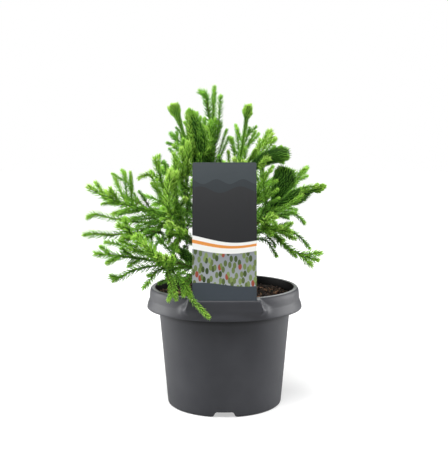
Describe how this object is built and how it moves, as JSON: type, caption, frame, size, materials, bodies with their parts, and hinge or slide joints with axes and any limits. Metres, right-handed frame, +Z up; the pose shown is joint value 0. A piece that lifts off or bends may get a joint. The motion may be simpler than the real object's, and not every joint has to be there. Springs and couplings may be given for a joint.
{
  "type": "potted dwarf conifer",
  "caption": "Dwarf conifer with cord-like and crested green shoots, standing in a grey plastic nursery pot with a plant card in its front pocket.",
  "frame": {"origin": "centre of the pot's flat underside", "axes": "+Z up; -Y is the front, where the plant card faces; +X is to the right of someone who looks at the card"},
  "size_m": [0.262, 0.2131, 0.348],
  "materials": {
    "pot_plastic": "dark grey polypropylene, satin from the mould",
    "compost": "moist dark peat and bark chips",
    "card": "thin printed plastic sheet",
    "bark": "thin reddish brown fibrous bark",
    "spray_green": "bright green needles on soft shoots",
    "crest_green": "dark green close-set needles of a crested shoot",
    "fan_green": "mid green needles of a fan-shaped shoot"
  },
  "bodies": {
    "root": {"pot": "pot_plastic", "root_ball": "compost", "card": "card", "trunk": "bark", "bough_top_left": "bark", "bough_top_right": "bark", "bough_right": "bark", "bough_right_low": "bark", "bough_left_high": "bark", "bough_left": "bark", "bough_left_middle": "bark", "bough_left_front": "bark", "bough_front_left": "bark", "bough_back_left": "bark", "bough_back": "bark", "bough_back_right": "bark", "leader_column": "spray_green", "leader_hook": "spray_green", "crest_dark": "crest_green", "fan_top_left": "fan_green", "spray_top_left": "spray_green", "spray_beside_card": "spray_green", "fan_top_right": "fan_green", "fan_right_of_leader": "fan_green", "fan_light_right": "fan_green", "comb_right": "crest_green", "spray_left_high": "spray_green", "spray_left_arch": "spray_green", "spray_left_short": "spray_green", "spray_left_bright": "spray_green", "spray_left_centre": "spray_green", "fan_left_upright": "fan_green", "spray_left_long": "spray_green", "spray_left_middle": "spray_green", "spray_left_level": "spray_green", "spray_left_inner": "spray_green", "crest_left_dark": "crest_green", "spray_left_front": "spray_green", "spray_left_behind": "spray_green", "spray_left_low": "spray_green", "spray_left_lowest": "spray_green", "spray_over_rim": "spray_green", "spray_hanging": "spray_green", "spray_on_card": "spray_green", "fan_dark_right": "fan_green", "spray_right_long": "spray_green", "spray_right_back": "spray_green", "spray_right_thin": "spray_green", "spray_right_inner": "spray_green", "spray_right_full": "spray_green", "spray_right_low": "spray_green", "spray_right_lowest": "spray_green", "spray_right_hanging": "spray_green", "spray_back_left_high": "spray_green", "spray_back_left": "spray_green", "spray_back_high": "spray_green", "spray_back_low": "spray_green", "spray_back_right_high": "spray_green", "spray_back_right": "spray_green", "spray_behind_card": "spray_green"}
  },
  "joints": []
}
